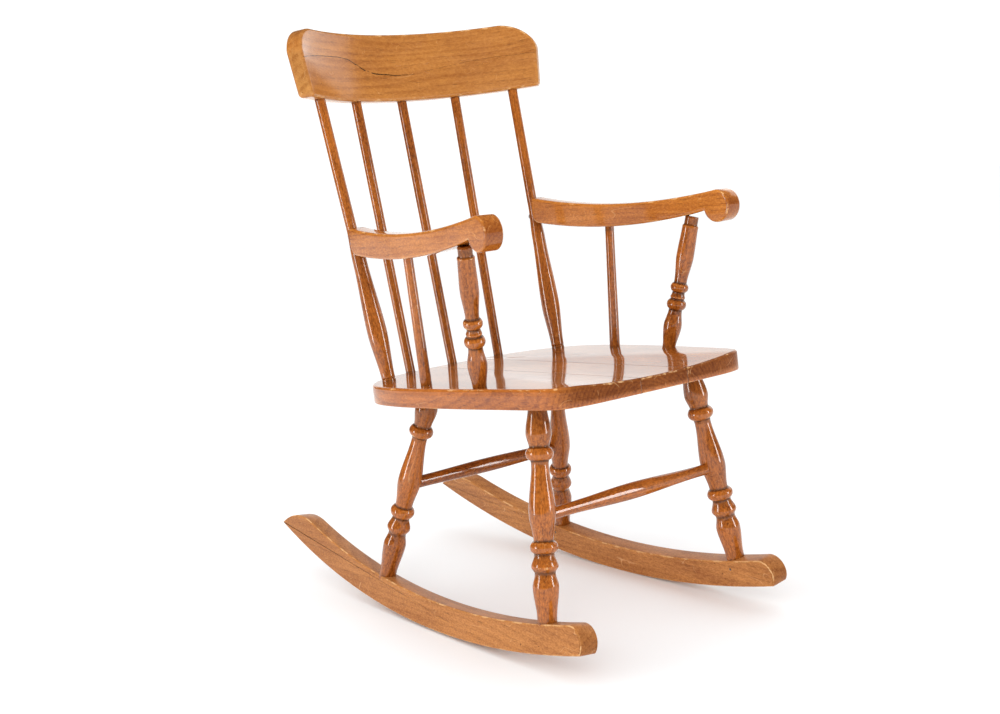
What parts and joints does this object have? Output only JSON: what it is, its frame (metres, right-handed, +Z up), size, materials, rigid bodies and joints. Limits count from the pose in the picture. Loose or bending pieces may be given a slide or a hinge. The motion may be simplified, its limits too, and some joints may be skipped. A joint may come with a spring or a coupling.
{
  "type": "rocking chair",
  "caption": "Child's spindle-back rocking chair in varnished wood, with turned legs and arm posts, sawn arms and runners, and a bent crest rail.",
  "frame": {"origin": "on the floor, on the chair's centre plane, midway between the runners' front and back tips", "axes": "+X towards the sitter's left, +Y towards the chair's back, +Z up"},
  "size_m": [0.3716, 0.681, 0.7238],
  "materials": {
    "crest_wood": "gloss varnish, amber, worn edges",
    "turned_wood": "gloss varnish, amber brown, dark grime in the grooves",
    "arm_wood": "gloss varnish, scuffed",
    "seat_wood": "high gloss varnish, amber",
    "runner_wood": "worn varnish, scratched",
    "dowel_wood": "plain birch, unvarnished",
    "fixing_steel": "dull steel"
  },
  "bodies": {
    "root": {"crest_rail": "crest_wood", "back_post_left": "turned_wood", "back_post_right": "turned_wood", "back_spindle_left": "turned_wood", "back_spindle_middle": "turned_wood", "back_spindle_right": "turned_wood", "arm_left": "arm_wood", "arm_right": "arm_wood", "arm_post_left": "turned_wood", "arm_post_right": "turned_wood", "arm_spindle_left": "turned_wood", "arm_spindle_right": "turned_wood", "seat_board_left": "seat_wood", "seat_board_middle": "seat_wood", "seat_board_right": "seat_wood", "front_leg_left": "turned_wood", "front_leg_right": "turned_wood", "back_leg_left": "turned_wood", "back_leg_right": "turned_wood", "front_stretcher": "turned_wood", "back_stretcher": "turned_wood", "runner_left": "runner_wood", "runner_right": "runner_wood", "seat_dowels": "dowel_wood", "arm_screws": "fixing_steel", "crest_pins": "fixing_steel", "runner_pins": "fixing_steel"}
  },
  "joints": []
}
